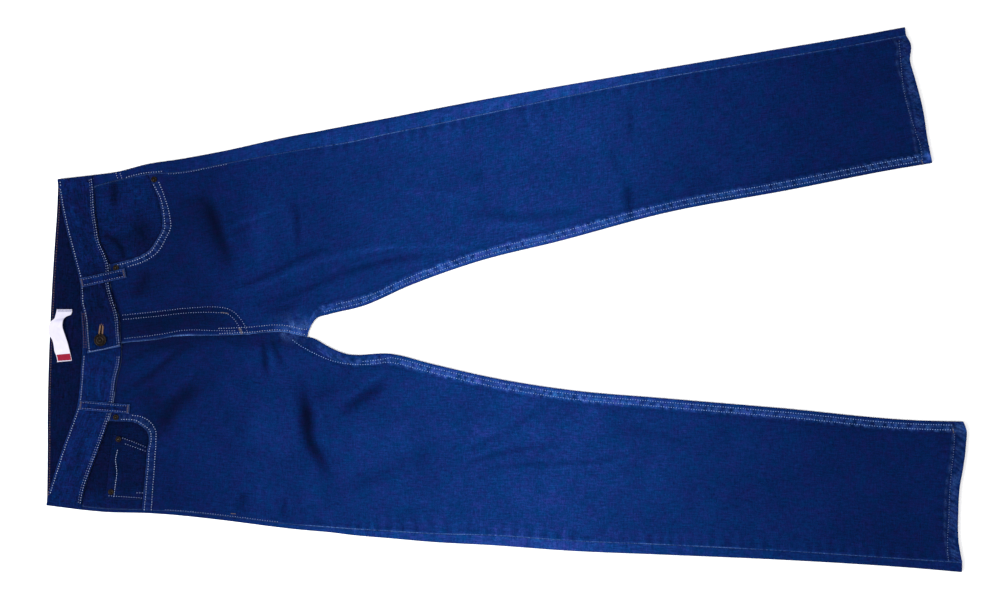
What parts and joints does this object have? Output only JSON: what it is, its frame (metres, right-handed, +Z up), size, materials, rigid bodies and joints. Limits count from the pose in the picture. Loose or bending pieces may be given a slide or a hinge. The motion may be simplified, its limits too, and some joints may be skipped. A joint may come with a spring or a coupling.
{
  "type": "jeans",
  "caption": "Full-length five-pocket denim jeans laid flat on their back, front up, legs spread slightly, waistband fastened with a tack button.",
  "frame": {"origin": "centre of the bounding box's underside, on the surface the jeans lie on", "axes": "+X from the waist to the hems along the legs, +Y to the wearer's left, +Z up out of the front of the jeans"},
  "size_m": [1.1329, 0.6713, 0.0124],
  "materials": {
    "denim_front": "mid to dark indigo twill, faded a little along the legs",
    "denim_back": "mid indigo twill",
    "denim_trim": "dark indigo twill",
    "denim_pocket": "darkest unfaded indigo twill",
    "antique_brass": "dark antique brass, worn brighter on the rims",
    "label_cloth": "smooth white woven strip"
  },
  "bodies": {
    "root": {"front_panel_left": "denim_front", "front_panel_right": "denim_front", "back_panel_left": "denim_back", "back_panel_right": "denim_back", "yoke_left": "denim_back", "yoke_right": "denim_back", "back_pocket_left": "denim_back", "back_pocket_right": "denim_back", "waistband": "denim_trim", "belt_loop_front_left": "denim_trim", "belt_loop_front_right": "denim_trim", "belt_loop_back_left": "denim_trim", "belt_loop_back_right": "denim_trim", "belt_loop_back_centre": "denim_trim", "pocket_facing_left": "denim_pocket", "pocket_facing_right": "denim_pocket", "coin_pocket": "denim_pocket", "button": "antique_brass", "rivet_left_side": "antique_brass", "rivet_left_waist": "antique_brass", "rivet_right_waist": "antique_brass", "rivet_coin_inner": "antique_brass", "rivet_coin_outer": "antique_brass", "inner_label": "label_cloth"}
  },
  "joints": []
}
